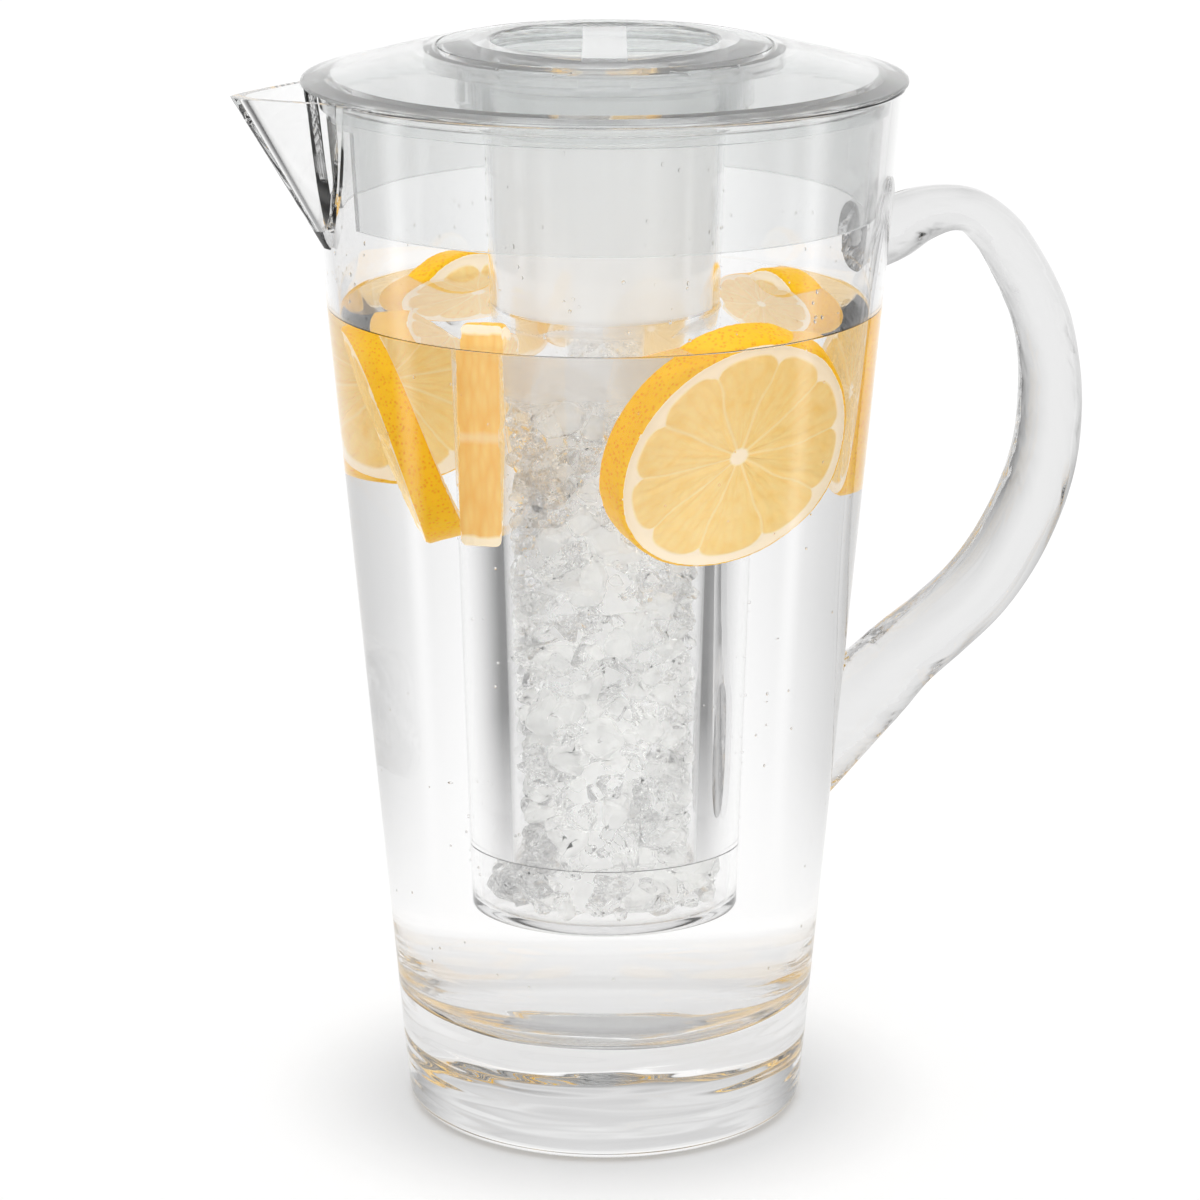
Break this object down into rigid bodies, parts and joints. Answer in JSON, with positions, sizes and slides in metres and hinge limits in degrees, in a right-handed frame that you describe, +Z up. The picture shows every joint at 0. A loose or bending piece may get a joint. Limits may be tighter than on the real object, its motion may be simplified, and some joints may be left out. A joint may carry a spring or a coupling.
{
  "type": "pitcher",
  "caption": "Tapered clear acrylic pitcher with a V-shaped spout, a looped handle, a turning lid with a deep skirt and an ice tube hanging from a twist-out knob, holding lemon slices.",
  "frame": {"origin": "centre of the pitcher's flat base, on the surface that it stands on", "axes": "+Z up along the pitcher's axis, +X towards the handle, -X towards the spout"},
  "size_m": [0.2247, 0.1512, 0.2783],
  "materials": {
    "clear_acrylic": "clear, polished",
    "clear_acrylic_lid": "clear, moulded and glossy",
    "clear_silicone": "translucent, satin",
    "tube_acrylic": "clear, misted by cold",
    "ice": "wet, broken",
    "lemon": "wet, pitted skin and glistening flesh"
  },
  "bodies": {
    "pitcher": {"pitcher_body": "clear_acrylic", "spout": "clear_acrylic", "handle": "clear_acrylic", "lemon_slice_front": "lemon", "lemon_half_left": "lemon", "lemon_half_middle": "lemon", "lemon_slice_back": "lemon", "lemon_slice_right": "lemon"},
    "ring": {"lid_ring": "clear_silicone"},
    "lid": {"lid": "clear_acrylic_lid"},
    "seal": {"core_seal": "clear_silicone"},
    "knob": {"core_cap": "clear_acrylic_lid"},
    "tube": {"ice_tube": "tube_acrylic", "crushed_ice": "ice"}
  },
  "joints": [
    {"name": "lid_lift", "type": "slide", "parent": "pitcher", "child": "ring", "axis": [0, 0, 1], "range_m": [0, 0.23]},
    {"name": "lid_turn", "type": "hinge", "parent": "ring", "child": "lid", "pos_m": [0, 0, 0.268], "axis": [0, 0, 1], "continuous": true},
    {"name": "core_lift", "type": "slide", "parent": "lid", "child": "seal", "axis": [0, 0, 1], "range_m": [0, 0.23]},
    {"name": "knob_turn", "type": "hinge", "parent": "seal", "child": "knob", "pos_m": [0, 0, 0.2735], "axis": [0, 0, 1], "range_deg": [-60, 0]},
    {"name": "tube_release", "type": "slide", "parent": "knob", "child": "tube", "axis": [0, 0, -1], "range_m": [0, 0.012]}
  ]
}
